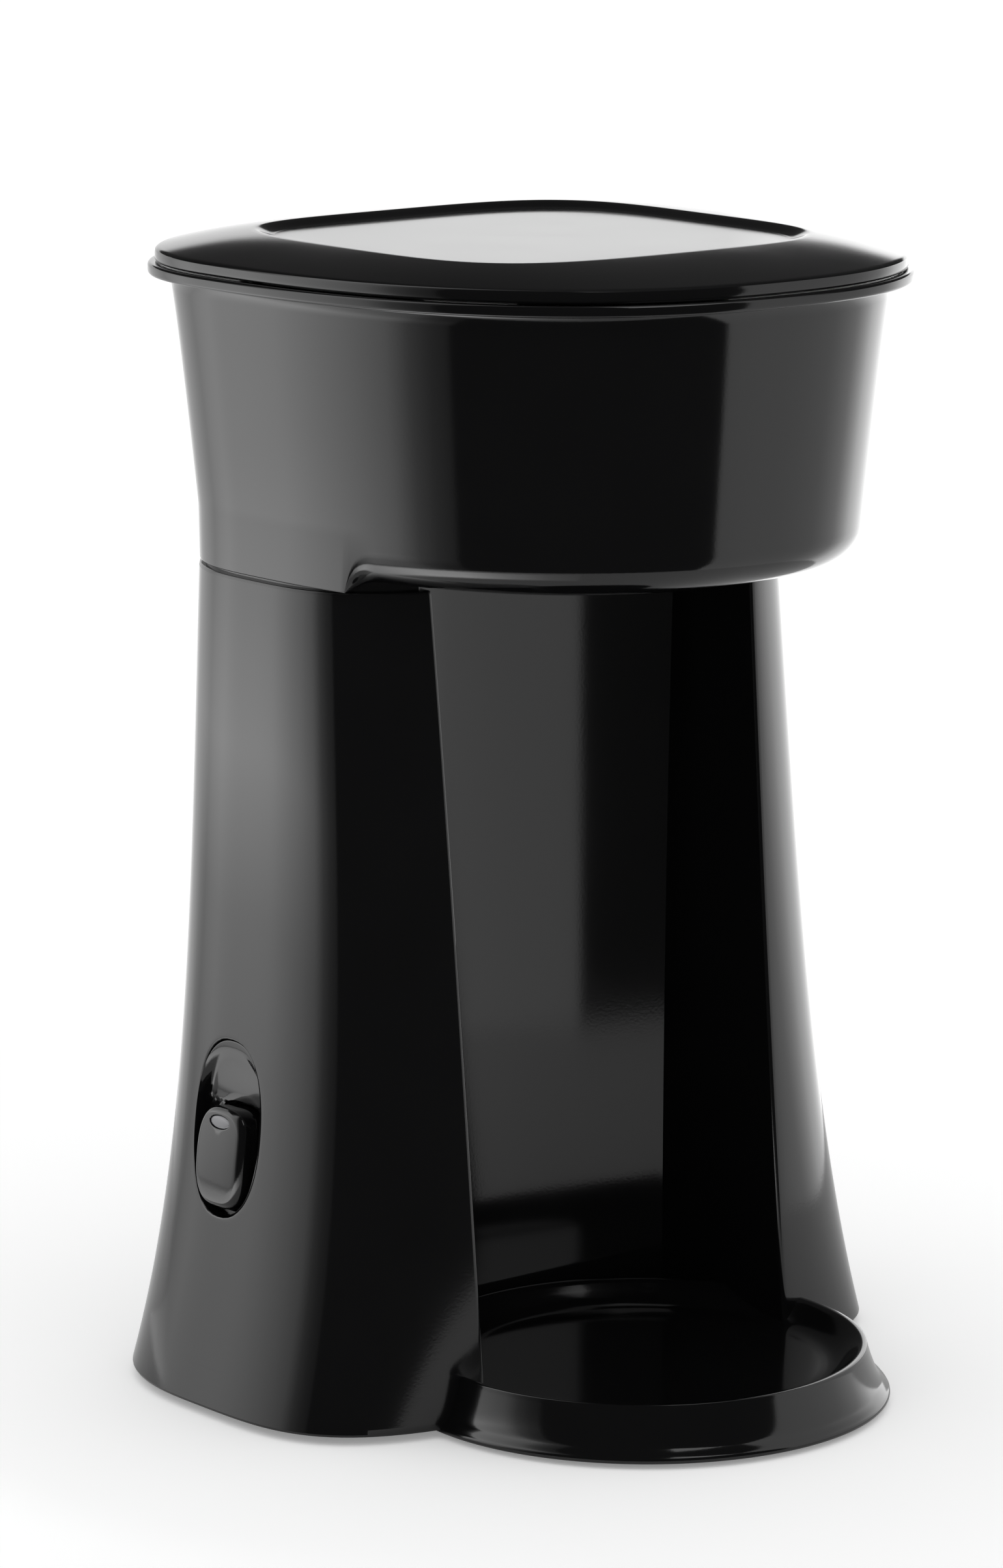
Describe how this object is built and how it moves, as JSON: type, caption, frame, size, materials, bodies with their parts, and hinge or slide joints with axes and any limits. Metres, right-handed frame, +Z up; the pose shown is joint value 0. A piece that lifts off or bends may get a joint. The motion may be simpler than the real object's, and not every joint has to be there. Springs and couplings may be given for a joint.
{
  "type": "drip coffee maker",
  "caption": "Compact gloss-black single-cup drip coffee maker: overhanging brew head with hinged lid, flared column with cup bay, round cup stand, side switch.",
  "frame": {"origin": "on the table under the middle of the bounding box", "axes": "+Z up, -Y front (the cup bay), +X to the right seen from the front"},
  "size_m": [0.181, 0.1804, 0.2708],
  "materials": {
    "gloss_black": "gloss",
    "liner_black": "satin",
    "matt_black": "matte",
    "rubber": "matte",
    "steel": "satin",
    "zinc_steel": "satin",
    "cast_alu": "matte",
    "dark_steel": "matte",
    "silicone": "matte",
    "lens_grey": "gloss",
    "lamp_amber": "gloss",
    "ivory": "satin",
    "white_sleeve": "matte"
  },
  "bodies": {
    "frame": {"upper_housing": "gloss_black", "water_tub": "liner_black", "hinge_pin": "steel", "filter_basket": "liner_black", "mesh_filter": "steel", "filter_handle": "liner_black", "shower_arm": "liner_black", "outlet_nozzle": "gloss_black", "column_shell": "gloss_black", "cup_stand": "gloss_black", "base_plate": "matt_black", "rubber_feet": "rubber", "base_screws": "zinc_steel", "head_screws": "zinc_steel", "switch_bezel": "gloss_black", "switch_module": "matt_black", "heater_casting": "cast_alu", "heating_element": "dark_steel", "element_terminals": "zinc_steel", "heater_bracket": "zinc_steel", "bracket_screws": "zinc_steel", "thermostat": "zinc_steel", "thermal_fuse": "white_sleeve", "inlet_hose": "silicone", "riser_hose": "silicone", "hose_clamps": "zinc_steel", "check_valve": "silicone", "inlet_strainer": "steel", "terminal_block": "ivory", "wiring": "white_sleeve", "cord_gland": "rubber"},
    "lid": {"lid": "gloss_black", "lid_liner": "liner_black"},
    "paddle": {"switch_paddle": "gloss_black", "indicator_lens": "lens_grey", "indicator_lamp": "lamp_amber"}
  },
  "joints": [
    {"name": "lid_hinge", "type": "hinge", "parent": "frame", "child": "lid", "pos_m": [0, 0.084, 0.2647], "axis": [-1, 0, 0], "range_deg": [0, 100]},
    {"name": "switch_rock", "type": "hinge", "parent": "frame", "child": "paddle", "pos_m": [-0.0738, 0.0251, 0.05852], "axis": [0, 1, 0], "range_deg": [0, 6]}
  ]
}
